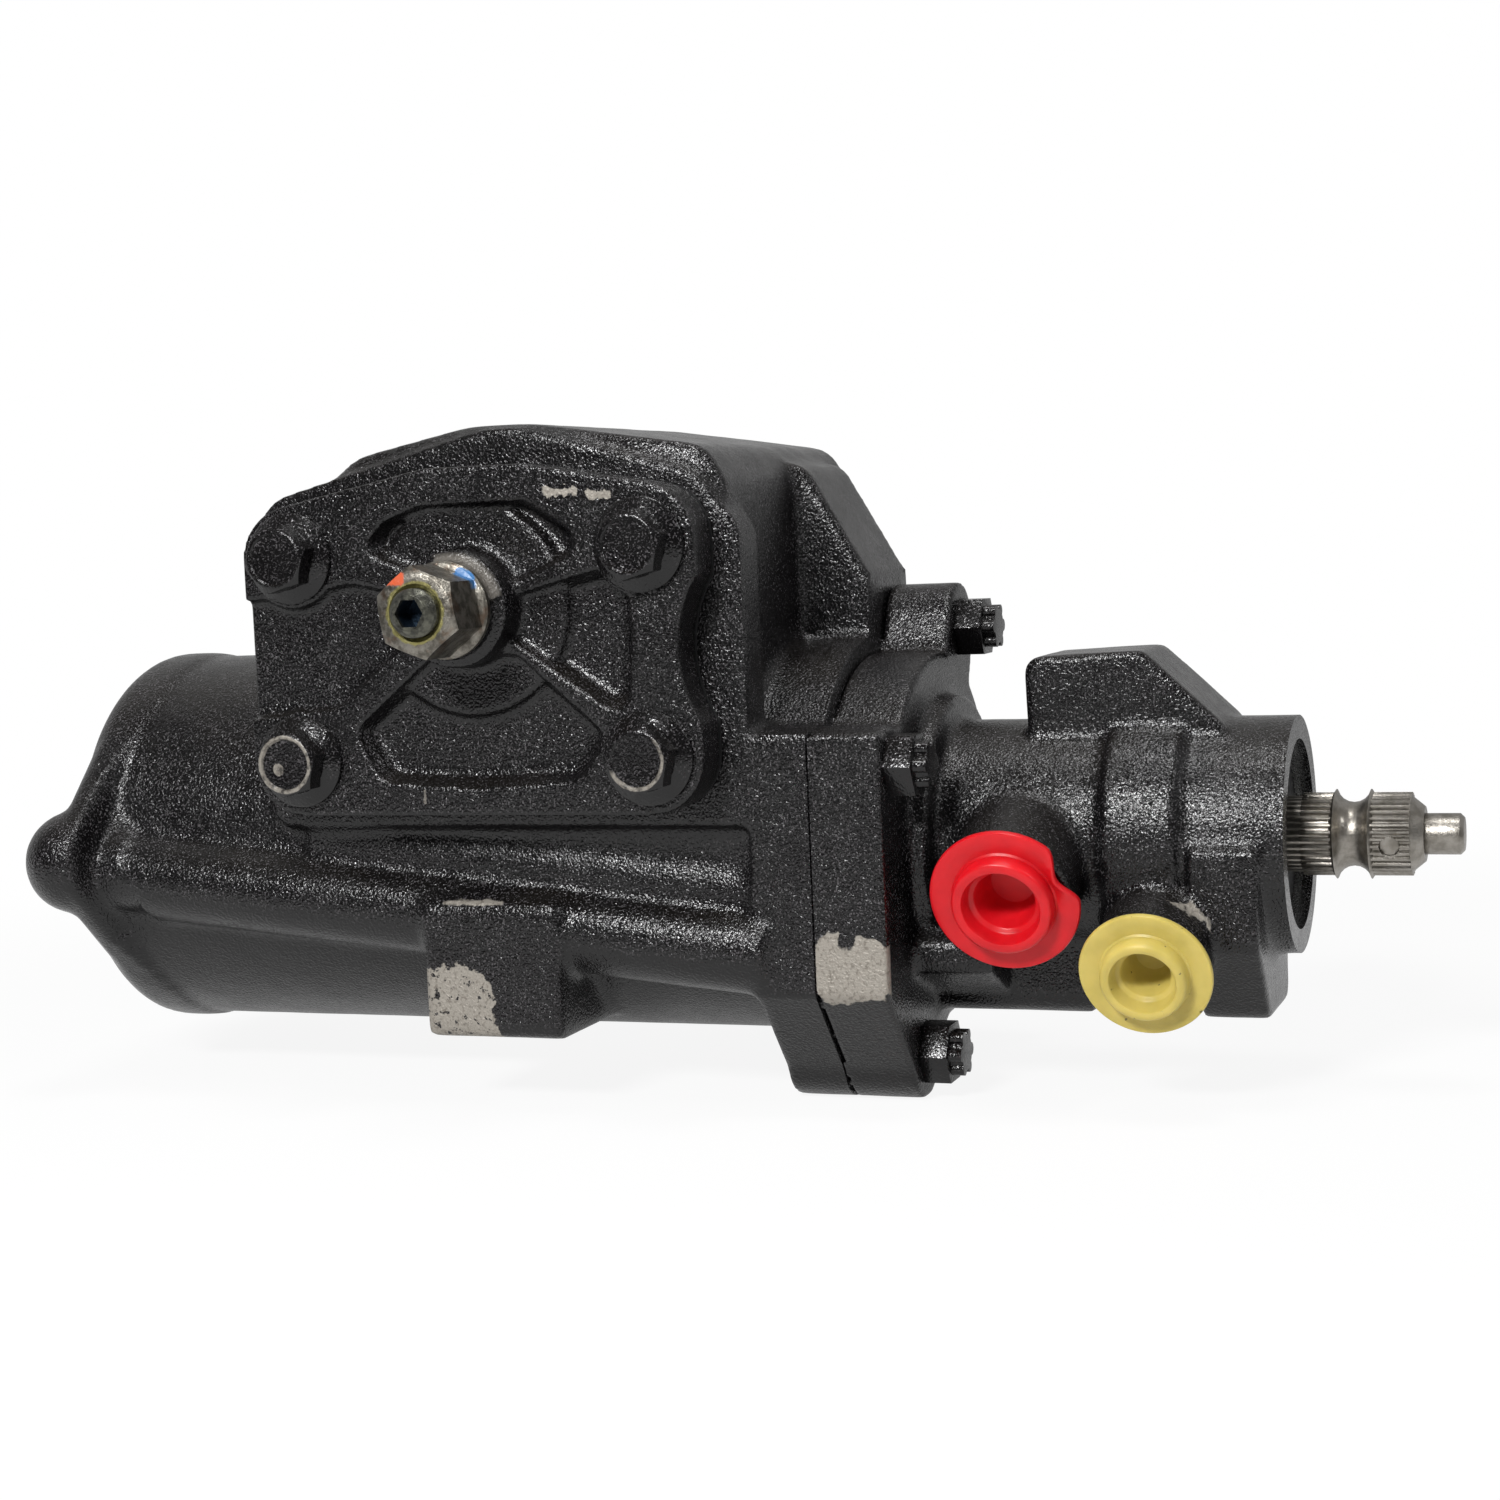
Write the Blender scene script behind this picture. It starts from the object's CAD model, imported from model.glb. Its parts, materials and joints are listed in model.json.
"""Looks of a power steering gearbox: cast skins, fasteners, plugs, finishes, light and camera."""

import json
import math

import bmesh
import bpy
import numpy as np
from mathutils import Matrix, Vector, noise
from mathutils.bvhtree import BVHTree


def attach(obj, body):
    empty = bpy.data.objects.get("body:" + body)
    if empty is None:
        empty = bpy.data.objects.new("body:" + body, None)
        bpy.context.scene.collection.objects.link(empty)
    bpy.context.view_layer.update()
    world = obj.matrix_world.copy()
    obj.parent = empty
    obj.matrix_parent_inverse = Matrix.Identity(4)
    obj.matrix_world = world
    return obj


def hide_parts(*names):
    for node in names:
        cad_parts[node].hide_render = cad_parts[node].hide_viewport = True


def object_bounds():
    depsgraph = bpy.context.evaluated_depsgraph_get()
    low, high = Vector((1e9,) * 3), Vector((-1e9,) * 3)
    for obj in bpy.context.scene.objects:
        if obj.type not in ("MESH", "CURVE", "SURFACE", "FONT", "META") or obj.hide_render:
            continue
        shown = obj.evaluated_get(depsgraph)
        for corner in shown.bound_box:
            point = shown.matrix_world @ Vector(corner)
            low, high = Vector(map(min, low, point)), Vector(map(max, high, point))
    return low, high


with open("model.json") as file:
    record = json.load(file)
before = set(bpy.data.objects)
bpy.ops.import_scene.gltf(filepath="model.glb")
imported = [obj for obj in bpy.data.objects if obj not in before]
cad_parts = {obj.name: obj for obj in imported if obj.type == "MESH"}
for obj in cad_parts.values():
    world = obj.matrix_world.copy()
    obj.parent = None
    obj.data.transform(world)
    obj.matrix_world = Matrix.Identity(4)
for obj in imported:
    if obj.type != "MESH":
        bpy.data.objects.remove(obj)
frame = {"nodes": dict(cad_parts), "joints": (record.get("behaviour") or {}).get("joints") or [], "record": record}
cad_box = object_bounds()

MM = 0.001
JOINTS = {joint["name"]: joint for joint in frame["joints"]}
WORM = Vector(JOINTS["worm_turn"]["pos_m"])
SECTOR = Vector(JOINTS["sector_swing"]["pos_m"])
# Where the worm axis passes under the sector axis
HOME = Vector((SECTOR.x, WORM.y, WORM.z))
SECTOR_HEIGHT = (SECTOR.z - WORM.z) / MM
RECORD = frame["record"]
SLOT_OF = {part["node"]: part["material_slot"] for part in RECORD["subparts"]}
BODY_OF = {node: body for body, nodes in RECORD["behaviour"]["bodies"].items() for node in nodes}

# Places that several pieces and finishes share, in millimetres from HOME
SEAM = 78
VALVE_END = 180
OUTPUT_FACE = 66
COVER_FACE = -63
BOSS_FACE = -72
NUT_HEIGHT = 15
NUT_MOUTH = BOSS_FACE - NUT_HEIGHT
ADJUSTER_Z = 60
BOLT_X = 44.5
BOLT_LOW_Z, BOLT_HIGH_Z = 25, 73
PRESSURE_PORT = (120, -40, -9.5)
RETURN_PORT = (151, -38, -26)


def spot(x, y, z):
    """A point given in millimetres from HOME."""
    return HOME + Vector((x, y, z)) * MM


# Mesh helpers

# Distances in metres within which points count as one, or as lying on a face
SAME_WHEN_TURNED = 1e-7
SAME = 1e-6
ON_FACE = 1e-5
# Angles in degrees
EASE_OVER = 30
FLAT_WITHIN = 0.5
EASED_SHARP = 35
CAST_SHARP = 50
FASTENER_SHARP = 28
PLUG_SHARP = 40
EASE_SEGMENTS = 2
QUARTER_TURN = math.radians(90)


def new_piece(name, mesh):
    piece = bpy.data.objects.new(name, mesh)
    bpy.context.scene.collection.objects.link(piece)
    return piece


def mesh_of(bm, name):
    """Turns a bmesh into a mesh."""
    mesh = bpy.data.meshes.new(name)
    bm.to_mesh(mesh)
    bm.free()
    return mesh


def outward_mesh(bm, name):
    """Turns a bmesh into a mesh with its faces pointing outwards."""
    bmesh.ops.recalc_face_normals(bm, faces=bm.faces)
    return mesh_of(bm, name)


def apply_modifiers(piece):
    """Replaces a piece's mesh by what its modifiers make of it."""
    shown = piece.evaluated_get(bpy.context.evaluated_depsgraph_get())
    mesh = bpy.data.meshes.new_from_object(shown)
    piece.modifiers.clear()
    piece.data = mesh


def cut(piece, tool, how):
    """Joins, cuts or keeps what two pieces share, and removes the tool."""
    change = piece.modifiers.new("cut", "BOOLEAN")
    change.operation = how
    change.solver = "EXACT"
    change.object = tool
    apply_modifiers(piece)
    bpy.data.objects.remove(tool)


def turned(name, profile, steps=96):
    """A closed solid turned about the Z axis from radii and heights, in millimetres."""
    bm = bmesh.new()
    rim = [bm.verts.new((r * MM, 0, z * MM)) for r, z in profile]
    edges = [bm.edges.new(pair) for pair in zip(rim, rim[1:])]
    bmesh.ops.spin(bm, geom=rim + edges, cent=(0, 0, 0), axis=(0, 0, 1), angle=math.tau,
                   steps=steps, use_merge=True)
    bmesh.ops.remove_doubles(bm, verts=bm.verts, dist=SAME_WHEN_TURNED)
    return new_piece(name, outward_mesh(bm, name))


def prism(name, flats, low, high, turn=0.0):
    """A hexagon bar along Z between two heights, in millimetres."""
    bm = bmesh.new()
    radius = flats / math.sqrt(3) * MM
    corner_along_x = math.radians(30)
    middle = Matrix.Translation((0, 0, (low + high) / 2 * MM))
    bmesh.ops.create_cone(bm, cap_ends=True, segments=6, radius1=radius, radius2=radius,
                          depth=(high - low) * MM,
                          matrix=middle @ Matrix.Rotation(turn + corner_along_x, 4, "Z"))
    return new_piece(name, outward_mesh(bm, name))


def ease_edges(piece, width):
    """Rounds a piece's sharp edges."""
    ease = piece.modifiers.new("ease", "BEVEL")
    ease.width = width * MM
    ease.segments = EASE_SEGMENTS
    ease.limit_method = "ANGLE"
    ease.angle_limit = math.radians(EASE_OVER)
    apply_modifiers(piece)


def smooth_shading(piece, angle):
    """Smooth faces that keep edges sharper than an angle."""
    piece.data.shade_smooth()
    bm = bmesh.new()
    bm.from_mesh(piece.data)
    limit = math.radians(angle)
    for edge in bm.edges:
        edge.smooth = len(edge.link_faces) == 2 and edge.calc_face_angle(0) < limit
    bm.to_mesh(piece.data)
    bm.free()


def copies(name, piece, places):
    """One piece made of copies of another at several places."""
    bm = bmesh.new()
    for place in places:
        mesh = piece.data.copy()
        mesh.transform(place)
        bm.from_mesh(mesh)
        bpy.data.meshes.remove(mesh)
    bpy.data.objects.remove(piece)
    return new_piece(name, mesh_of(bm, name))


def solid_copy(node):
    """A merged copy of a CAD solid."""
    bm = bmesh.new()
    bm.from_mesh(frame["nodes"][node].data)
    bmesh.ops.remove_doubles(bm, verts=bm.verts, dist=SAME)
    return bm


def eased_copy(node, width):
    """A copy of a CAD solid with its sharp edges rounded off."""
    bm = solid_copy(node)
    bmesh.ops.dissolve_limit(bm, angle_limit=math.radians(FLAT_WITHIN), verts=bm.verts, edges=bm.edges)
    piece = new_piece(node + "_piece", mesh_of(bm, node + "_piece"))
    ease_edges(piece, width)
    smooth_shading(piece, EASED_SHARP)
    return piece


def dress(piece, node, material):
    """Gives a finished piece its material and puts it in the place of a solid."""
    piece.data.materials.clear()
    piece.data.materials.append(material)
    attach(piece, BODY_OF[node])
    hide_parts(node)


# Node helpers

# First input, second input and output of a mix node for each thing it mixes
MIX_SOCKETS = {"FLOAT": (2, 3, 0), "RGBA": (6, 7, 2)}


class Nodes:
    """A node tree under construction."""

    def __init__(self, tree):
        self.tree = tree

    def add(self, kind, **settings):
        node = self.tree.nodes.new(kind)
        for key, value in settings.items():
            setattr(node, key, value)
        return node

    def feed(self, socket, value):
        """Links a socket to another's output, or sets its value."""
        if isinstance(value, bpy.types.NodeSocket):
            self.tree.links.new(value, socket)
        else:
            socket.default_value = value

    def worked_out(self, node, values, output=0):
        """The output of a node that is given some values."""
        for socket, value in zip(node.inputs, values):
            self.feed(socket, value)
        return node.outputs[output]

    def math(self, how, *values):
        return self.worked_out(self.add("ShaderNodeMath", operation=how), values)

    def vector(self, how, *values):
        return self.worked_out(self.add("ShaderNodeVectorMath", operation=how), values)

    def length(self, vector):
        return self.worked_out(self.add("ShaderNodeVectorMath", operation="LENGTH"), [vector], "Value")

    def axis(self, vector, name):
        return self.worked_out(self.add("ShaderNodeSeparateXYZ"), [vector], name)

    def ramp(self, value, low, high, start=0.0, end=1.0):
        """Smooth change from start to end as a value goes from low to high."""
        node = self.add("ShaderNodeMapRange", interpolation_type="SMOOTHSTEP")
        return self.worked_out(node, (value, low, high, start, end))

    def mix(self, share, first, second, kind="RGBA"):
        """From the first colour or number to the second as the share goes from 0 to 1."""
        first_input, second_input, output = MIX_SOCKETS[kind]
        node = self.add("ShaderNodeMix", data_type=kind)
        self.feed(node.inputs[0], share)
        self.feed(node.inputs[first_input], first)
        self.feed(node.inputs[second_input], second)
        return node.outputs[output]

    def times(self, first, second):
        return self.math("MULTIPLY", first, second)

    def less(self, mask, taken):
        return self.times(mask, self.math("SUBTRACT", 1.0, taken))

    def most(self, masks):
        found = masks[0]
        for mask in masks[1:]:
            found = self.math("MAXIMUM", found, mask)
        return found

    def background_share(self, in_gloss=1.0):
        """1 for the rays of the camera and of glass, which see the backdrop, and a share of it for gloss."""
        rays = self.add("ShaderNodeLightPath").outputs
        gloss = self.times(rays["Is Glossy Ray"], in_gloss)
        return self.most([rays["Is Camera Ray"], gloss, rays["Is Transmission Ray"]])


class Finish(Nodes):
    """A material under construction. Its patterns read object coordinates, and sizes are in millimetres."""

    # How round a box's corners are, as a share of its smallest half
    CORNER_SHARE = 0.8
    # Half the size of a box that is wide enough for every ring
    RING_HALF = 40

    def __init__(self, name):
        self.material = bpy.data.materials.new(name)
        self.material.use_nodes = True
        super().__init__(self.material.node_tree)
        self.shader = self.tree.nodes["Principled BSDF"]
        self.place = self.add("ShaderNodeTexCoord").outputs["Object"]

    def set(self, **values):
        for key, value in values.items():
            self.feed(self.shader.inputs[key.replace("_", " ")], value)

    def noise(self, size, detail=2.0, rough=0.5):
        """Soft noise from 0 to 1 whose lumps are about size millimetres across."""
        node = self.add("ShaderNodeTexNoise")
        self.feed(node.inputs["Vector"], self.place)
        node.inputs["Scale"].default_value = 1 / (size * MM)
        node.inputs["Detail"].default_value = detail
        node.inputs["Roughness"].default_value = rough
        return node.outputs["Fac"]

    def bump(self, height, depth):
        """Relief of a given depth in millimetres."""
        node = self.add("ShaderNodeBump")
        node.inputs["Strength"].default_value = 1.0
        node.inputs["Distance"].default_value = depth * MM
        self.feed(node.inputs["Height"], height)
        return node.outputs["Normal"]

    def roughened(self, distance, ragged, lumps):
        """A distance that wanders to both sides by up to about ragged."""
        return self.math("MULTIPLY_ADD", self.math("SUBTRACT", lumps, 0.5), 2 * ragged, distance)

    def away_from(self, centre):
        return self.vector("SUBTRACT", self.place, tuple(spot(*centre)))

    def box(self, centre, half, ragged=0.0, lump=4.0, soft=0.4):
        """1 inside a box with round corners and a ragged edge, 0 outside."""
        corner = self.CORNER_SHARE * min(half)
        away = self.vector("ABSOLUTE", self.away_from(centre))
        away = self.vector("SUBTRACT", away, tuple((h - corner) * MM for h in half))
        far = self.length(self.vector("MAXIMUM", away, (0, 0, 0)))
        far = self.math("SUBTRACT", far, corner * MM)
        if ragged:
            far = self.roughened(far, ragged * MM, self.noise(lump, 4.0, 0.6))
        return self.ramp(far, -soft * MM, soft * MM, 1.0, 0.0)

    def facing_up(self, low, high):
        """1 where the surface faces up, 0 where it doesn't."""
        normal = self.add("ShaderNodeNewGeometry").outputs["Normal"]
        return self.ramp(self.axis(normal, "Z"), low, high)

    def radius_from(self, centre):
        """Distance in millimetres from an axis along Y through a point."""
        away = self.away_from(centre)
        across, up = (self.times(self.axis(away, name), 1 / MM) for name in ("X", "Z"))
        return self.math("SQRT", self.math("ADD", self.times(across, across), self.times(up, up)))

    def ring(self, centre, low, high, ragged, soft=0.3, reach=3):
        """1 between two radii round an axis along Y, within reach of the centre's depth."""
        around = self.roughened(self.radius_from(centre), ragged, self.noise(2.4, 3.0, 0.6))
        band = self.times(self.ramp(around, low - soft, low), self.ramp(around, high, high + soft, 1.0, 0.0))
        return self.times(band, self.box(centre, (self.RING_HALF, reach, self.RING_HALF)))


# Finishes

BLACK = (0.0026, 0.0023, 0.0025, 1)
GRAIN_GREY = (0.085, 0.080, 0.084, 1)
BROWN_BLACK = (0.0075, 0.0062, 0.0050, 1)
BARE_IRON = (0.285, 0.262, 0.228, 1)
DARK_IRON = (0.185, 0.165, 0.140, 1)
ZINC = (0.24, 0.225, 0.195, 1)
DARK_ZINC = (0.095, 0.087, 0.073, 1)
RUST = (0.12, 0.065, 0.035, 1)
PASSIVATED = (0.34, 0.31, 0.10, 1)
ORANGE = (0.50, 0.085, 0.03, 1)
BLUE = (0.035, 0.15, 0.36, 1)
SCREW_GREY = (0.13, 0.13, 0.105, 1)
DARK_SCREW = (0.05, 0.05, 0.043, 1)
SOCKET_BLUE = (0.02, 0.035, 0.055, 1)
DIRT = (0.03, 0.025, 0.015, 1)

PAINT_ROUGHNESS = (0.18, 0.26)
PAINT_SPECULAR = 0.42
PAINT_RELIEF = 0.28
WORN_ROUGHNESS = 0.5
WORN_METALLIC = 0.3
ZINC_METALLIC = 0.85
ZINC_RELIEF = 0.1
PLASTIC_SPECULAR = 0.35
PLASTIC_RELIEF = 0.05
LIGHT_INTO_PLASTIC = 0.3
LIGHT_DEPTH = 2.5
MATT_ROUGHEST = 0.85
MATT_SPECULAR = 0.2
MATT_RELIEF = 0.08
TOOL_MARKS = 0.05


def casting_paint(name, bare, grain=1.0):
    """Semi-gloss black paint over a sand casting, worn to bare iron in places."""
    finish = Finish(name)
    sand = finish.noise(0.6, 1.0)
    lumps = finish.noise(3.4)
    raised = finish.ramp(finish.noise(0.7, 0.0), 0.50, 0.72)
    tops = finish.times(finish.facing_up(0.25, 0.95), finish.ramp(finish.noise(26, 3.0), 0.25, 0.65))
    patches = finish.ramp(finish.noise(11, 3.0), 0.3, 0.7, 0.4, 1.0)
    grains = finish.times(finish.ramp(finish.noise(0.5, 1.0), 0.54, 0.72), patches)
    grains = finish.times(grains, finish.facing_up(-0.45, 0.1))
    paint = finish.mix(grains, finish.mix(tops, BLACK, BROWN_BLACK), GRAIN_GREY)
    gloss = finish.ramp(finish.noise(9, 4.0), 0.3, 0.7, *PAINT_ROUGHNESS)
    relief = finish.math("MULTIPLY_ADD", lumps, 0.25, finish.times(sand, 0.7))
    relief = finish.math("MULTIPLY_ADD", raised, 0.22, relief)
    worn = bare(finish)
    iron = finish.mix(finish.ramp(finish.noise(1.1, 4.0, 0.65), 0.36, 0.5), DARK_IRON, BARE_IRON)
    finish.set(Base_Color=finish.mix(worn, paint, iron), Metallic=finish.times(worn, WORN_METALLIC),
               Roughness=finish.mix(worn, gloss, WORN_ROUGHNESS, "FLOAT"),
               Normal=finish.bump(relief, PAINT_RELIEF * grain), Specular_IOR_Level=PAINT_SPECULAR)
    return finish.material


def housing_wear(finish):
    """Bare iron on the front of the foot, with a thin line along its upper edge."""
    front = finish.box((-10.5, -57, -36.5), (10.5, 5, 11.5), ragged=5.0, lump=7.0, soft=0.2)
    specks = finish.ramp(finish.noise(1.7, 3.0, 0.6), 0.36, 0.42)
    line = finish.box((-5.5, -57, -9.6), (8, 4, 0.5), ragged=1.0, lump=3.0, soft=0.25)
    return finish.most([finish.times(front, specks), line])


def valve_wear(finish):
    """Bare iron on the edge of the joint flange and on the shoulder over the return port."""
    flange = finish.box((86.6, -51, -24.5), (9.0, 6, 8.0), ragged=3.2, lump=8.0, soft=0.2)
    front = finish.box((86.6, -51, -25), (20, 2.2, 20))
    notch = finish.box((85.6, -51, -16.6), (2.2, 5, 3.2), ragged=2.0, lump=3.0, soft=0.3)
    patch = finish.less(finish.times(flange, front), notch)
    shoulder = finish.box((163, -38, -16), (9, 8, 11), ragged=4.5, lump=4.0, soft=0.3)
    rim = finish.ring(RETURN_PORT, 15.4, 18.5, ragged=1.8, soft=0.5, reach=8)
    return finish.most([patch, finish.times(shoulder, rim)])


def cover_wear(finish):
    """Two chips on the top edge of the cover, a scratch under a pocket and a dull ring at the nut."""
    left_chip = finish.box((25.5, COVER_FACE, 85.7), (4.2, 1.4, 1.1), ragged=2.4, lump=1.8, soft=0.2)
    right_chip = finish.box((35, COVER_FACE, 84.6), (3.0, 1.4, 0.9), ragged=2.0, lump=1.6, soft=0.2)
    scratch = finish.box((-12.4, COVER_FACE, 16.4), (0.3, 1.2, 1.7), ragged=0.5, lump=0.9, soft=0.15)
    patina = finish.ring((0, BOSS_FACE, ADJUSTER_Z), 9.0, 13.2, ragged=1.5, soft=0.4)
    upper = finish.box((5, BOSS_FACE, 69), (9, 5, 7), ragged=3.0, lump=5.0, soft=0.5)
    dull = finish.times(finish.times(patina, upper), 0.4)
    return finish.most([left_chip, right_chip, finish.times(scratch, 0.5), dull])


def bolt_wear(finish):
    """Worn rings on the heads of the two lower cover bolts and a spot beside one centre."""
    head = -71
    broken = finish.ramp(finish.noise(2.0, 3.0, 0.6), 0.3, 0.55, 0.15, 0.85)
    left_ring = finish.ring((-BOLT_X, head, BOLT_LOW_Z), 6.0, 6.7, ragged=0.4)
    whole_ring = finish.ring((BOLT_X, head, BOLT_LOW_Z), 6.0, 6.6, ragged=0.4)
    painted = finish.box((41.5, head, 30), (7.5, 7, 7.5), ragged=0.5, lump=3.0, soft=0.8)
    bare_spot = finish.ring((-46.4, head, 23.8), -1.0, 1.2, ragged=0.5)
    return finish.times(finish.most([left_ring, finish.less(whole_ring, painted), bare_spot]), broken)


def plain_metal(name, light, dark, rough, lump=6.0):
    """Bare machined metal with faint stains and fine tool marks."""
    finish = Finish(name)
    stain = finish.ramp(finish.noise(lump, 4.0, 0.6), 0.35, 0.7)
    fine = finish.noise(0.5, 3.0)
    finish.set(Base_Color=finish.mix(stain, light, dark), Metallic=1.0,
               Roughness=finish.ramp(fine, 0.3, 0.7, rough - 0.06, rough + 0.1),
               Normal=finish.bump(fine, TOOL_MARKS))
    return finish.material


def nut_zinc():
    """Worn zinc with rust stains, an orange paint dab, a blue mark and a yellow ring at the thread."""
    finish = Finish("nut_zinc")
    fine = finish.noise(0.6, 3.0)
    zinc = finish.mix(finish.ramp(finish.noise(2.6, 4.0, 0.62), 0.38, 0.62), ZINC, DARK_ZINC)
    rust = finish.ramp(finish.noise(4.5, 4.0, 0.6), 0.52, 0.66)
    zinc = finish.mix(finish.times(rust, 0.5), zinc, RUST)
    ring = finish.ring((0, NUT_MOUTH, ADJUSTER_Z), 5.0, 6.9, ragged=0.8, soft=0.4)
    zinc = finish.mix(finish.times(ring, 0.75), zinc, PASSIVATED)
    orange = finish.box((-6, NUT_MOUTH, 67.9), (3.6, 1.6, 1.7), ragged=0.9, lump=2.5, soft=0.3)
    zinc = finish.mix(orange, zinc, ORANGE)
    blue = finish.box((6.4, -75, 67), (2.4, 1.6, 3.0), ragged=1.2, lump=3.0, soft=0.3)
    zinc = finish.mix(blue, zinc, BLUE)
    painted = finish.most([orange, blue])
    finish.set(Base_Color=zinc, Roughness=finish.ramp(fine, 0.3, 0.7, 0.3, 0.48),
               Metallic=finish.math("MULTIPLY_ADD", painted, -ZINC_METALLIC, ZINC_METALLIC),
               Normal=finish.bump(fine, ZINC_RELIEF))
    return finish.material


def screw_zinc():
    """Dull screw end, grey green round the chamfer and dark blue in the socket."""
    finish = Finish("screw_zinc")
    fine = finish.noise(0.6, 3.0)
    around = finish.radius_from((0, -90, ADJUSTER_Z))
    inner = finish.box((0, -86, ADJUSTER_Z), (4, 3.9, 4))
    socket = finish.times(finish.ramp(around, 3.5, 3.8, 1.0, 0.0), inner)
    grey = finish.mix(finish.ramp(finish.noise(2.0, 4.0, 0.6), 0.35, 0.65), SCREW_GREY, DARK_SCREW)
    finish.set(Base_Color=finish.mix(socket, grey, SOCKET_BLUE), Metallic=ZINC_METALLIC,
               Roughness=finish.ramp(fine, 0.3, 0.7, 0.3, 0.5), Normal=finish.bump(fine, ZINC_RELIEF))
    return finish.material


def moulded(name, light, dark, rough, inner, specks=0.0):
    """Soft moulded plastic with a little light passing into it, and dirt specks."""
    finish = Finish(name)
    colour = finish.mix(finish.ramp(finish.noise(7, 3.0), 0.3, 0.75), light, dark)
    if specks:
        dirt = finish.times(finish.ramp(finish.noise(2.0), 0.72, 0.76), specks)
        colour = finish.mix(dirt, colour, DIRT)
    finish.set(Base_Color=colour, Roughness=finish.ramp(finish.noise(3), 0.3, 0.7, rough, rough + 0.12),
               Normal=finish.bump(finish.noise(1.6), PLASTIC_RELIEF), Specular_IOR_Level=PLASTIC_SPECULAR,
               Subsurface_Weight=LIGHT_INTO_PLASTIC, Subsurface_Scale=LIGHT_DEPTH * MM,
               Subsurface_Radius=inner)
    return finish.material


def matt(name, colour, dark, rough):
    """Rubber or filled plastic with a dull mottled face."""
    finish = Finish(name)
    mottle = finish.noise(2.2, 4.0, 0.6)
    finish.set(Base_Color=finish.mix(mottle, colour, dark), Specular_IOR_Level=MATT_SPECULAR,
               Roughness=finish.ramp(mottle, 0.3, 0.7, rough, MATT_ROUGHEST),
               Normal=finish.bump(finish.noise(0.7, 3.0), MATT_RELIEF))
    return finish.material


HOUSING_PAINT = casting_paint("housing_paint", housing_wear)
VALVE_PAINT = casting_paint("valve_paint", valve_wear)
COVER_PAINT = casting_paint("cover_paint", cover_wear)
BOLT_PAINT = casting_paint("bolt_paint", bolt_wear, grain=0.5)
STEEL = plain_metal("bare_steel", (0.33, 0.31, 0.28, 1), (0.20, 0.185, 0.16, 1), 0.36, lump=3.5)
GROUND_STEEL = plain_metal("ground_steel", (0.55, 0.55, 0.54, 1), (0.45, 0.45, 0.44, 1), 0.22)
NUT_ZINC = nut_zinc()
SCREW_ZINC = screw_zinc()
PISTON_IRON = plain_metal("piston_iron", (0.30, 0.30, 0.30, 1), (0.2, 0.2, 0.2, 1), 0.34)
BRONZE = plain_metal("bronze", (0.60, 0.40, 0.18, 1), (0.45, 0.29, 0.12, 1), 0.3)
RUBBER = matt("rubber", (0.010, 0.010, 0.011, 1), (0.018, 0.018, 0.018, 1), 0.55)
RING_PLASTIC = matt("ring_plastic", (0.13, 0.1, 0.07, 1), (0.09, 0.07, 0.05, 1), 0.45)
RED_PLASTIC = moulded("red_plastic", (0.60, 0.006, 0.012, 1), (0.49, 0.004, 0.009, 1), 0.3,
                      inner=(1.0, 0.06, 0.06))
YELLOW_PLASTIC = moulded("yellow_plastic", (0.55, 0.44, 0.115, 1), (0.45, 0.36, 0.085, 1), 0.33,
                         inner=(1.0, 0.80, 0.30), specks=0.8)

FINISH_OF_SLOT = {
    "black_casting": HOUSING_PAINT, "black_bolt": BOLT_PAINT, "zinc": NUT_ZINC, "gasket_rubber": RUBBER,
    "ring_plastic": RING_PLASTIC, "bearing_steel": GROUND_STEEL, "bronze": BRONZE, "shaft_steel": STEEL,
    "piston_iron": PISTON_IRON, "red_plastic": RED_PLASTIC, "yellow_plastic": YELLOW_PLASTIC,
}
for node, slot in SLOT_OF.items():
    shown = frame["nodes"][node]
    shown.data.materials.clear()
    shown.data.materials.append(FINISH_OF_SLOT[slot])


# Cast skins, with sizes and places in millimetres

AXIS_X, AXIS_Y = 0, 1
# How far a machined face is pushed out before the skin is cut flat there
SPARE = 3.0
SEAM_GROOVE = 1.0
BORE_ROOM = 0.4
NORMALS_EVERY = 4
BIG_LUMP, SMALL_LUMP, SMALL_LUMP_SHARE = 14, 5, 0.4

# Bores and chambers inside the castings, and where their mouths begin
WORM_BORE_R = 40.5
CHAMBER_R, CHAMBER_HALF, CHAMBER_OVER_SECTOR = 41.5, 22, 9
SECTOR_BORE_R = 28.5
VALVE_STEP, VALVE_WIDE_R, VALVE_NARROW_R = 93, 32.5, 23.7
CLOSED_END, OUTPUT_MOUTH, INPUT_MOUTH, SEAM_MOUTH = -112, 46, 164, 2
COVER_BACK, ADJUSTER_BORE_R = -53, 7

# Collar round the closed end, with the nose of the oil passage
BARREL_R = 47.5
PASSAGE_R, PASSAGE_Y, PASSAGE_Z = 10.5, -45, -3.5
COLLAR_FACE, COLLAR_FACE_NOSE = -104.5, -110.5
NOSE_Y, NOSE_Z = -51, -0.9
# How far in front of the worm axis the collar's face goes over to that of the nose
FACE_CHANGE = (30, 50)
# Room inside the collar that is cleared of what stands proud of barrel and passage
CLEAR_DEPTH, CLEAR_TOP, CLEAR_PROUD = 6, 47, 12
COLLAR_SEGMENTS = 72
# Place and radius of the circles that the collar plate spans
COLLAR_RINGS = [
    (-121, 0, 0, 41), (-118.5, 0, 0, 46), (-115, 0, 0, 48.3), (COLLAR_FACE, 0, 0, 48.3),
    (-118.5, NOSE_Y, NOSE_Z, 10), (-115.5, NOSE_Y, NOSE_Z, 12.5), (COLLAR_FACE_NOSE, NOSE_Y, NOSE_Z, 12.5),
]


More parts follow.
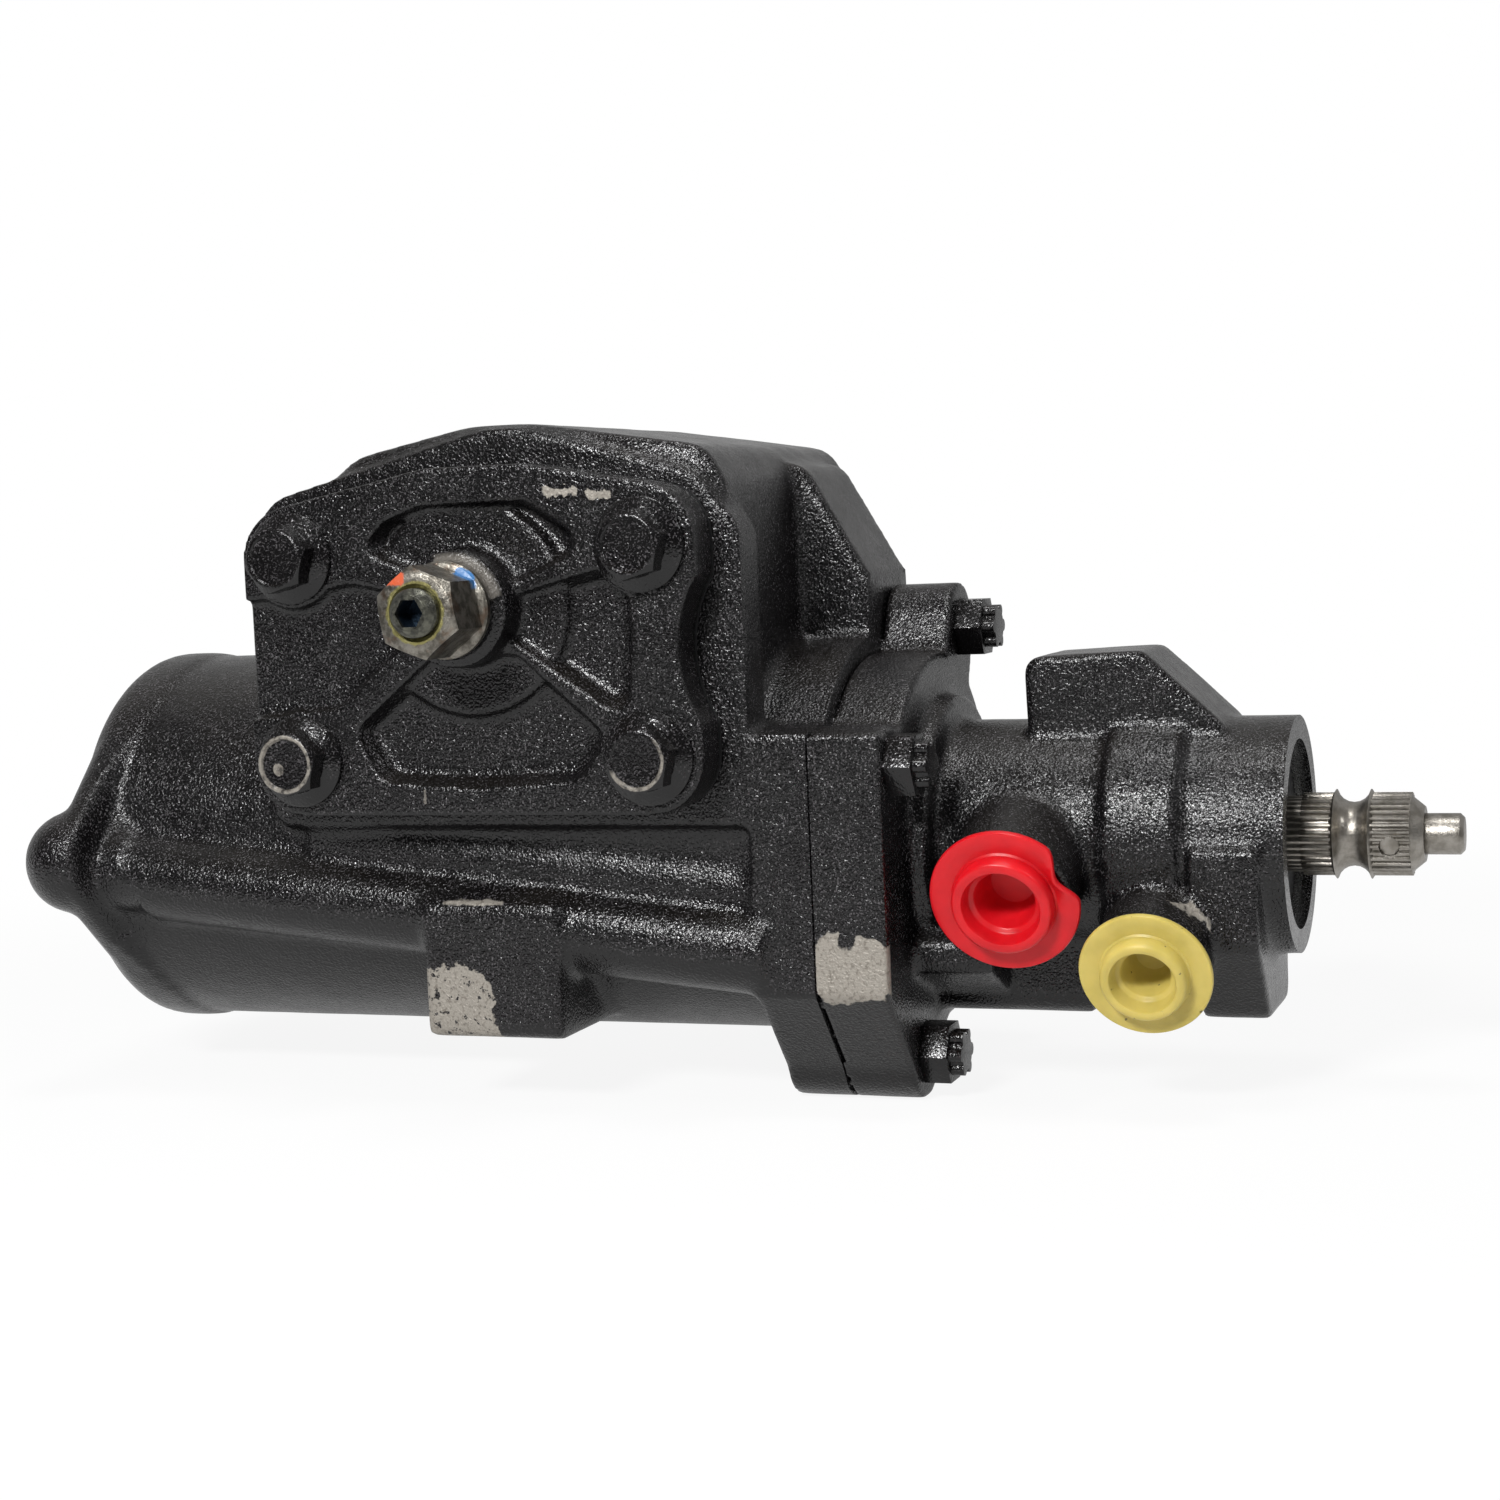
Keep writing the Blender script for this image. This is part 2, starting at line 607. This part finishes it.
def from_home(points):
    """Coordinates in millimetres from HOME."""
    return ((points - np.array(HOME)) / MM).T


def read_points(mesh):
    points = np.zeros(len(mesh.vertices) * 3)
    mesh.vertices.foreach_get("co", points)
    return points.reshape(-1, 3)


def read_normals(mesh):
    normals = np.zeros(len(mesh.vertices) * 3)
    mesh.vertex_normals.foreach_get("vector", normals)
    return normals.reshape(-1, 3)


def write_points(mesh, points):
    mesh.vertices.foreach_set("co", points.ravel())
    mesh.update()


def soften(mesh, rounds, fill, shave, held):
    """Works a remeshed casting as a mould does: hollows fill up and edges wear a little."""
    points = read_points(mesh)
    ends = np.zeros(len(mesh.edges) * 2, int)
    mesh.edges.foreach_get("vertices", ends)
    first, second = ends[0::2], ends[1::2]
    here, there = np.concatenate((first, second)), np.concatenate((second, first))
    size = len(points)
    links = np.maximum(np.bincount(here, minlength=size), 1)
    free = ~held(points)
    for turn in range(rounds):
        if turn % NORMALS_EVERY == 0:
            write_points(mesh, points)
            normals = read_normals(mesh)
        around = [np.bincount(here, weights=points[there, axis], minlength=size) / links for axis in range(3)]
        step = np.stack(around, 1) - points
        outward = np.einsum("ij,ij->i", step, normals)
        share = np.where(outward > 0, fill, shave) * free
        points += step * share[:, None]
    write_points(mesh, points)


def lumpiness(point):
    """Noise of two sizes at a point."""
    place = Vector(point)
    return noise.noise(place / (BIG_LUMP * MM)) + SMALL_LUMP_SHARE * noise.noise(place / (SMALL_LUMP * MM))


def uneven(mesh, held, waves):
    """Gives a casting its slightly uneven surface."""
    points = read_points(mesh)
    normals = read_normals(mesh)
    lumps = np.array([lumpiness(point) for point in points])
    lumps *= ~held(points)
    write_points(mesh, points + normals * (lumps * waves * MM)[:, None])


def collar_plate():
    """The plate round the closed end, with straight flanks from the barrel to the oil passage's nose."""
    bm = bmesh.new()
    for x, y, z, radius in COLLAR_RINGS:
        upright = Matrix.Translation(spot(x, y, z)) @ Matrix.Rotation(QUARTER_TURN, 4, "Y")
        bmesh.ops.create_circle(bm, segments=COLLAR_SEGMENTS, radius=radius * MM, matrix=upright)
    bmesh.ops.delete(bm, geom=bm.edges[:], context="EDGES_FACES")
    hull = bmesh.ops.convex_hull(bm, input=bm.verts)
    unused = hull["geom_interior"] + hull["geom_unused"]
    spare = {part for part in unused if isinstance(part, bmesh.types.BMVert)}
    bmesh.ops.delete(bm, geom=list(spare), context="VERTS")
    return outward_mesh(bm, "collar_plate")


def trim_collar(mesh):
    """Clears the barrel and the oil passage on the inner side of the collar plate."""
    points = read_points(mesh)
    x, y, z = from_home(points)
    face = np.interp(-y, FACE_CHANGE, (COLLAR_FACE, COLLAR_FACE_NOSE))
    around_barrel = np.hypot(y, z)
    around_passage = np.hypot(y - PASSAGE_Y, z - PASSAGE_Z)
    over_barrel = around_barrel - BARREL_R
    over_passage = around_passage - PASSAGE_R
    proud = np.minimum(over_barrel, over_passage)
    clear = (x > face) & (x < COLLAR_FACE + CLEAR_DEPTH) & (y < 0) & (z < CLEAR_TOP)
    clear &= (proud > 0) & (proud < CLEAR_PROUD)
    to_barrel = over_barrel < over_passage
    off_y = np.where(to_barrel, y / around_barrel, (y - PASSAGE_Y) / around_passage)
    off_z = np.where(to_barrel, z / around_barrel, (z - PASSAGE_Z) / around_passage)
    shift = np.where(clear, proud, 0) * MM
    points[:, 1] -= off_y * shift
    points[:, 2] -= off_z * shift
    write_points(mesh, points)


def seat_bores(mesh, solid, deep):
    """Lays the bores that nobody sees just behind those of the solid, clear of what moves in them."""
    points = read_points(mesh)
    for index in np.flatnonzero(deep(points)):
        place, normal = solid.find_nearest(points[index])[:2]
        points[index] = place - normal * (BORE_ROOM * MM)
    write_points(mesh, points)


def thin_out(piece, solid, deep, share):
    """Keeps fewer faces on the bores that nobody sees."""
    seat_bores(piece.data, solid, deep)
    hidden = piece.vertex_groups.new(name="inside")
    hidden.add(np.flatnonzero(deep(read_points(piece.data))).tolist(), 1.0, "REPLACE")
    thin = piece.modifiers.new("thin", "DECIMATE")
    thin.ratio = share
    thin.vertex_group = hidden.name
    apply_modifiers(piece)
    piece.vertex_groups.clear()
    seat_bores(piece.data, solid, deep)


def face_off(piece, axis, place, side):
    """Cuts a skin flat at a machined face and closes the cut."""
    bm = bmesh.new()
    bm.from_mesh(piece.data)
    normal = Vector((0, 0, 0))
    normal[axis] = side
    level = HOME.copy()
    level[axis] += place * MM
    cut_off = bmesh.ops.bisect_plane(bm, geom=bm.verts[:] + bm.edges[:] + bm.faces[:], dist=SAME,
                                     plane_co=level, plane_no=normal, clear_outer=True)
    rim = [part for part in cut_off["geom_cut"] if isinstance(part, bmesh.types.BMEdge)]
    bmesh.ops.triangle_fill(bm, use_beauty=True, use_dissolve=False, edges=rim, normal=normal)
    bmesh.ops.recalc_face_normals(bm, faces=bm.faces)
    bm.to_mesh(piece.data)
    bm.free()


def break_seam(piece, held):
    """Presses in the rim of a casting at the joint, so that the seam shows as a thin groove."""
    points = read_points(piece.data)
    inward = -read_normals(piece.data)
    inward[:, AXIS_X] = 0
    inward /= np.maximum(np.linalg.norm(inward, axis=1), SAME)[:, None]
    rim = (np.abs(points[:, AXIS_X] - HOME.x - SEAM * MM) < SAME) & ~held(points)
    write_points(piece.data, points + inward * (rim * SEAM_GROOVE * MM)[:, None])


def cast_skin(node, voxel, rounds, fill, shave, waves, held, faces=(), deep=None, share=1.0, added=None,
              sculpt=None):
    """A smooth skin over a cast solid, with filled corners, an uneven surface and flat machined faces."""
    bm = solid_copy(node)
    bm.normal_update()
    solid = BVHTree.FromBMesh(bm)
    for axis, place, side in faces:
        level = HOME[axis] + place * MM
        for vert in bm.verts:
            if abs(vert.co[axis] - level) < ON_FACE:
                vert.co[axis] += side * SPARE * MM
    if added:
        bm.from_mesh(added)
    piece = new_piece(node + "_casting", mesh_of(bm, node + "_casting"))
    grid = piece.modifiers.new("grid", "REMESH")
    grid.mode = "VOXEL"
    grid.voxel_size = voxel * MM
    apply_modifiers(piece)
    if sculpt:
        sculpt(piece.data)
    soften(piece.data, rounds, fill, shave, held)
    uneven(piece.data, held, waves)
    if deep:
        thin_out(piece, solid, deep, share)
    for face in faces:
        face_off(piece, *face)
    if faces:
        break_seam(piece, held)
    smooth_shading(piece, CAST_SHARP)
    return piece


def inside_gear_housing(points):
    x, y, z = from_home(points)
    around_worm = np.hypot(y, z) < WORM_BORE_R
    around_sector = np.hypot(x, z - SECTOR_HEIGHT)
    chamber = (around_sector < CHAMBER_R) & (np.abs(y) < CHAMBER_HALF)
    chamber &= z < SECTOR_HEIGHT + CHAMBER_OVER_SECTOR
    return around_worm | chamber | (around_sector < SECTOR_BORE_R)


def inside_valve_housing(points):
    x, y, z = from_home(points)
    return np.hypot(y, z) < np.where(x < VALVE_STEP, VALVE_WIDE_R, VALVE_NARROW_R)


def inside_side_cover(points):
    x, y, z = from_home(points)
    return (y > COVER_BACK) | (np.hypot(x, z - SECTOR_HEIGHT) < ADJUSTER_BORE_R)


def deep_in_gear_housing(points):
    """The inside without the mouths, which show."""
    x, y = from_home(points)[:2]
    return inside_gear_housing(points) & (x > CLOSED_END) & (x < SEAM - SEAM_MOUTH) & (y < OUTPUT_MOUTH)


def deep_in_valve_housing(points):
    """The inside without the mouths, which show."""
    x = from_home(points)[0]
    return inside_valve_housing(points) & (x > SEAM + SEAM_MOUTH) & (x < INPUT_MOUTH)


gear_housing = cast_skin("gear_housing", voxel=1.2, rounds=8, fill=0.45, shave=0.12, waves=0.08,
                         held=inside_gear_housing, faces=[(AXIS_X, SEAM, 1), (AXIS_Y, OUTPUT_FACE, 1)],
                         deep=deep_in_gear_housing, share=0.5, added=collar_plate(), sculpt=trim_collar)
dress(gear_housing, "gear_housing", HOUSING_PAINT)
valve_housing = cast_skin("valve_housing", voxel=0.9, rounds=14, fill=0.5, shave=0.09, waves=0.08,
                          held=inside_valve_housing, faces=[(AXIS_X, SEAM, -1), (AXIS_X, VALVE_END, 1)],
                          deep=deep_in_valve_housing, share=0.6)
dress(valve_housing, "valve_housing", VALVE_PAINT)
side_cover = cast_skin("side_cover", voxel=0.75, rounds=12, fill=0.5, shave=0.10, waves=0.05,
                       held=inside_side_cover)
dress(side_cover, "side_cover", COVER_PAINT)

# Fasteners on the cover, with profiles of radii and heights

FACING_FRONT = Matrix.Rotation(QUARTER_TURN, 4, "X")
COVER_BOLTS = [(x, COVER_FACE, z) for x in (-BOLT_X, BOLT_X) for z in (BOLT_LOW_Z, BOLT_HIGH_Z)]
BOLT_FLATS = 14.3
BOLT_HEAD = 8.3
BOLT_SHANK = 27
BOLT_TURN = math.radians(15)
SHANK_STEPS = 32


def cover_bolt():
    """Hexagon flange bolt, head up, seated at height 0."""
    top = [(0, 0), (9.5, 0), (9.5, 6.0), (6.9, BOLT_HEAD - 0.1), (6.6, BOLT_HEAD), (6.2, BOLT_HEAD),
           (5.8, BOLT_HEAD - 0.5), (0, BOLT_HEAD - 0.7)]
    flange = [(0, 0), (10.5, 0), (10.8, 0.3), (10.8, 1.0), (10.4, 1.4), (7.9, 2.5), (7.4, 2.9), (0, 2.9)]
    shank = [(0, -BOLT_SHANK), (4.2, -BOLT_SHANK), (5, 1.5 - BOLT_SHANK), (5, 1), (0, 1)]
    bolt = prism("bolt", BOLT_FLATS, 0.6, BOLT_HEAD + 1, BOLT_TURN)
    cut(bolt, turned("top", top), "INTERSECT")
    cut(bolt, turned("flange", flange), "UNION")
    cut(bolt, turned("shank", shank, SHANK_STEPS), "UNION")
    return bolt


cover_bolts = copies("cover_bolts_piece", cover_bolt(),
                     [Matrix.Translation(spot(*place)) @ FACING_FRONT for place in COVER_BOLTS])
smooth_shading(cover_bolts, FASTENER_SHARP)
dress(cover_bolts, "cover_bolts", BOLT_PAINT)

# Lash adjuster

NUT_FLATS = 18.5
NUT_TURN = math.radians(38)
SCREW_R = 5.5
SCREW_IN_NUT = 0.03
SCREW_TIP = 90.2
SCREW_FOOT = 41.8
SCREW_HEAD_R = 11
SCREW_HEAD_TOP = 46.8
SCREW_SOCKET = 6
SOCKET_DEPTH = 6
THREAD_PITCH = 1.25
THREAD_DEPTH = 0.5
# The thread's first crest and its last, down from the tip
THREAD_FROM, THREAD_TO = 1.6, 6


def at_adjuster(depth):
    return Matrix.Translation(spot(0, depth, SECTOR_HEIGHT)) @ FACING_FRONT


def lock_nut():
    """Tall hexagon nut with a skirt and a chamfered mouth."""
    bore = SCREW_R + SCREW_IN_NUT
    top = [(0, -1), (12, -1), (12, NUT_HEIGHT - 2.1), (8.9, NUT_HEIGHT - 0.15), (8.6, NUT_HEIGHT),
           (0, NUT_HEIGHT)]
    skirt = [(0, 0), (11.2, 0), (11.25, 0.3), (11.2, 1.3), (10.7, 1.9), (9.6, 2.3), (0, 2.3)]
    mouth = [(0, -1), (bore, -1), (bore, NUT_HEIGHT - 1), (6.7, NUT_HEIGHT + 0.2), (6.7, NUT_HEIGHT + 2),
             (0, NUT_HEIGHT + 2)]
    nut = prism("nut", NUT_FLATS, 0, NUT_HEIGHT + 1, NUT_TURN)
    cut(nut, turned("top", top), "INTERSECT")
    cut(nut, turned("skirt", skirt), "UNION")
    cut(nut, turned("mouth", mouth), "DIFFERENCE")
    return nut


def adjuster_screw():
    """Threaded screw with a flat head inside and a hexagon socket at its tip."""
    profile = [(0, SCREW_TIP), (4.0, SCREW_TIP), (4.4, SCREW_TIP - 0.25)]
    height = SCREW_TIP - THREAD_FROM
    while height > SCREW_TIP - THREAD_TO:
        profile += [(SCREW_R, height), (SCREW_R - THREAD_DEPTH, height - THREAD_PITCH / 2)]
        height -= THREAD_PITCH
    profile += [(SCREW_R, height), (SCREW_R, SCREW_HEAD_TOP), (SCREW_HEAD_R, SCREW_HEAD_TOP),
                (SCREW_HEAD_R, SCREW_FOOT), (0, SCREW_FOOT)]
    screw = turned("screw", profile)
    cut(screw, prism("socket", SCREW_SOCKET, SCREW_TIP - SOCKET_DEPTH, SCREW_TIP + 1), "DIFFERENCE")
    return screw


nut_piece = copies("adjuster_lock_nut_piece", lock_nut(), [at_adjuster(BOSS_FACE)])
smooth_shading(nut_piece, FASTENER_SHARP)
dress(nut_piece, "adjuster_lock_nut", NUT_ZINC)
screw_piece = copies("adjuster_screw_piece", adjuster_screw(), [at_adjuster(0)])
smooth_shading(screw_piece, FASTENER_SHARP)
dress(screw_piece, "adjuster_screw", SCREW_ZINC)

# Plugs in the hose ports

PORT_TILT = math.radians(20)
CUP = 9
PLUG_STEPS = 120
# Over how many millimetres of radius a dent grows to its full depth
DENT_GROWTH = 3.0


def port_seat(port):
    return Matrix.Translation(spot(*port)) @ Matrix.Rotation(QUARTER_TURN + PORT_TILT, 4, "X")


def plug(name, port, rim, collar, mouth, hole):
    """Moulded plug: a thin rim, a collar round the mouth with a ledge inside, and a tapered cup."""
    cup_outside = [(0, -CUP), (hole - 2.8, -CUP), (hole - 2.2, 0.4 - CUP), (hole - 1.2, 3 - CUP),
                   (hole - 0.3, 0.3)]
    thin_rim = [(rim - 0.5, 0.3), (rim - 0.1, 0.55), (rim, 1.0), (rim, 1.5), (rim - 0.2, 1.9),
                (rim - 0.7, 2.1), ((rim + collar) / 2, 1.95)]
    collar_outside = [(collar + 0.6, 1.8), (collar + 0.15, 2.2), (collar - 0.1, 5.0), (collar - 0.35, 5.5),
                      (collar - 0.85, 5.8)]
    collar_inside = [(mouth + 0.7, 5.8), (mouth + 0.2, 5.6), (mouth - 0.05, 5.1), (mouth - 0.5, 2.2),
                     (mouth - 0.8, 1.8)]
    cup_inside = [(hole - 1.7, 1.6), (hole - 2.0, 1.2), (hole - 2.7, 3 - CUP), (hole - 3.9, 1.6 - CUP),
                  (0, 1.6 - CUP)]
    profile = cup_outside + thin_rim + collar_outside + collar_inside + cup_inside
    return copies(name, turned("plug", profile, PLUG_STEPS), [port_seat(port)])


def dent(piece, port, reach, angle, width, depth, lift):
    """Presses the rim of a plug in over a stretch of its edge, and lifts it there."""
    seat = port_seat(port)
    to_seat = seat.inverted()
    for vert in piece.data.vertices:
        local = to_seat @ vert.co
        out = math.hypot(local.x, local.y) / MM
        off = (math.degrees(math.atan2(local.y, local.x)) - angle) / width
        if out > reach and abs(off) < 1:
            share = (1 - off * off) ** 2 * min((out - reach) / DENT_GROWTH, 1)
            local.x *= 1 - depth * share / out
            local.y *= 1 - depth * share / out
            local.z += lift * share * MM
            vert.co = seat @ local


red_plug = plug("pressure_port_cap_piece", PRESSURE_PORT, rim=17.3, collar=11.6, mouth=8.9, hole=9)
dent(red_plug, PRESSURE_PORT, reach=12.6, angle=24, width=26, depth=3.2, lift=1.3)
smooth_shading(red_plug, PLUG_SHARP)
dress(red_plug, "pressure_port_cap", RED_PLASTIC)
yellow_plug = plug("return_port_cap_piece", RETURN_PORT, rim=15, collar=9.8, mouth=7.4, hole=7.6)
smooth_shading(yellow_plug, PLUG_SHARP)
dress(yellow_plug, "return_port_cap", YELLOW_PLASTIC)

# Solids that only need their edges broken, by the widths given

EASED_EDGES = {
    "valve_housing_bolts": 0.5, "input_shaft": 0.15, "torsion_bar": 0.2, "torsion_bar_pin": 0.2,
    "input_dust_seal": 0.3, "sector_shaft": 0.3,
}
for node, width in EASED_EDGES.items():
    dress(eased_copy(node, width), node, FINISH_OF_SLOT[SLOT_OF[node]])

# Floor, with sizes in metres

FLOOR_HALF = 0.6
FLOOR_GREY = (0.85, 0.85, 0.85, 1)
# Distances over which the floor goes over to plain white, and its share of white before that
FLOOR_FADE = (0.22, 0.55)
FLOOR_WHITE = 0.90
FLOOR_IN_GLOSS = 0.5

floor_bm = bmesh.new()
bmesh.ops.create_grid(floor_bm, x_segments=1, y_segments=1, size=FLOOR_HALF,
                      matrix=Matrix.Translation((0, 0, cad_box[0].z)))
floor = new_piece("floor", outward_mesh(floor_bm, "floor"))


def pale_floor():
    """A pale floor that turns into the white backdrop away from the part, and keeps its shadow near it."""
    finish = Finish("pale_floor")
    finish.set(Base_Color=FLOOR_GREY, Roughness=1.0, Specular_IOR_Level=0.0)
    white = finish.add("ShaderNodeEmission")
    mixed = finish.add("ShaderNodeMixShader")
    share = finish.ramp(finish.length(finish.place), *FLOOR_FADE, FLOOR_WHITE, 1.0)
    finish.feed(mixed.inputs[0], finish.times(finish.background_share(FLOOR_IN_GLOSS), share))
    finish.feed(mixed.inputs[1], finish.shader.outputs[0])
    finish.feed(mixed.inputs[2], white.outputs[0])
    finish.feed(finish.tree.nodes["Material Output"].inputs[0], mixed.outputs[0])
    return finish.material


floor.data.materials.append(pale_floor())

# World

DIFFUSE_LIGHT = 0.2
# What gloss sees of the room in front of the part and behind it, and where one goes over to the other
ROOM_IN_FRONT, ROOM_BEHIND = 0.05, 0.5
ROOM_CHANGE = (-0.35, 0.15)


def room_light(sky):
    """What a ray sees far away: the white backdrop, or for gloss the room, dim on the lamps' side."""
    camera_ray = sky.add("ShaderNodeLightPath").outputs["Is Camera Ray"]
    depth = sky.axis(sky.add("ShaderNodeTexCoord").outputs["Generated"], "Y")
    return sky.most([sky.ramp(depth, *ROOM_CHANGE, ROOM_IN_FRONT, ROOM_BEHIND), camera_ray])


world = bpy.data.worlds.new("studio")
bpy.context.scene.world = world
world.use_nodes = True
sky = Nodes(world.node_tree)
backdrop = world.node_tree.nodes["Background"]
backdrop.inputs["Color"].default_value = (1, 1, 1, 1)
sky.feed(backdrop.inputs["Strength"],
         sky.mix(sky.background_share(), DIFFUSE_LIGHT, room_light(sky), "FLOAT"))

# Lamps

CENTRE = (cad_box[0] + cad_box[1]) / 2


def direction(azimuth, elevation):
    """The way out from the part, in degrees. Azimuth 0 is in front, 90 on the +X side."""
    a, e = math.radians(azimuth), math.radians(elevation)
    return Vector((math.sin(a) * math.cos(e), -math.cos(a) * math.cos(e), math.sin(e)))


def softbox(name, azimuth, elevation, distance, size, power):
    """An oblong lamp that looks at the middle of the part."""
    lamp = bpy.data.lights.new(name, "AREA")
    lamp.shape = "RECTANGLE"
    lamp.size, lamp.size_y = size
    lamp.energy = power
    away = direction(azimuth, elevation)
    holder = bpy.data.objects.new(name, lamp)
    holder.location = CENTRE + away * distance
    holder.rotation_mode = "QUATERNION"
    holder.rotation_quaternion = away.to_track_quat("Z", "Y")
    bpy.context.scene.collection.objects.link(holder)


softbox("key_softbox", azimuth=-6, elevation=31, distance=1.2, size=(0.30, 0.16), power=14)
softbox("right_softbox", azimuth=66, elevation=34, distance=1.3, size=(0.16, 0.3), power=2.2)
softbox("top_softbox", azimuth=15, elevation=80, distance=1.2, size=(0.3, 0.3), power=4.5)

# Camera, as fitted to the photograph

CAMERA_AZIMUTH = 20.25
CAMERA_ELEVATION = 4.89
CAMERA_ROLL = math.radians(-2.44)
CAMERA_PLACE = (267.6, -602.0, 75.7)
FOCAL_PIXELS = 2597.2
FRAME_PIXELS = 1500
SENSOR = 36.0
CLIP_START = 0.01

camera = bpy.data.cameras.new("camera")
camera.sensor_width = SENSOR
camera.lens = FOCAL_PIXELS / FRAME_PIXELS * SENSOR
camera.clip_start = CLIP_START
eye = bpy.data.objects.new("camera", camera)
back = direction(CAMERA_AZIMUTH, CAMERA_ELEVATION)
level_right = (-back).cross(Vector((0, 0, 1))).normalized()
level_up = level_right.cross(-back)
right = math.cos(CAMERA_ROLL) * level_right + math.sin(CAMERA_ROLL) * level_up
up = -math.sin(CAMERA_ROLL) * level_right + math.cos(CAMERA_ROLL) * level_up
eye.matrix_world = Matrix.Translation(spot(*CAMERA_PLACE)) @ Matrix((right, up, back)).transposed().to_4x4()
bpy.context.scene.collection.objects.link(eye)
bpy.context.scene.camera = eye
bpy.context.scene.view_settings.view_transform = "Standard"
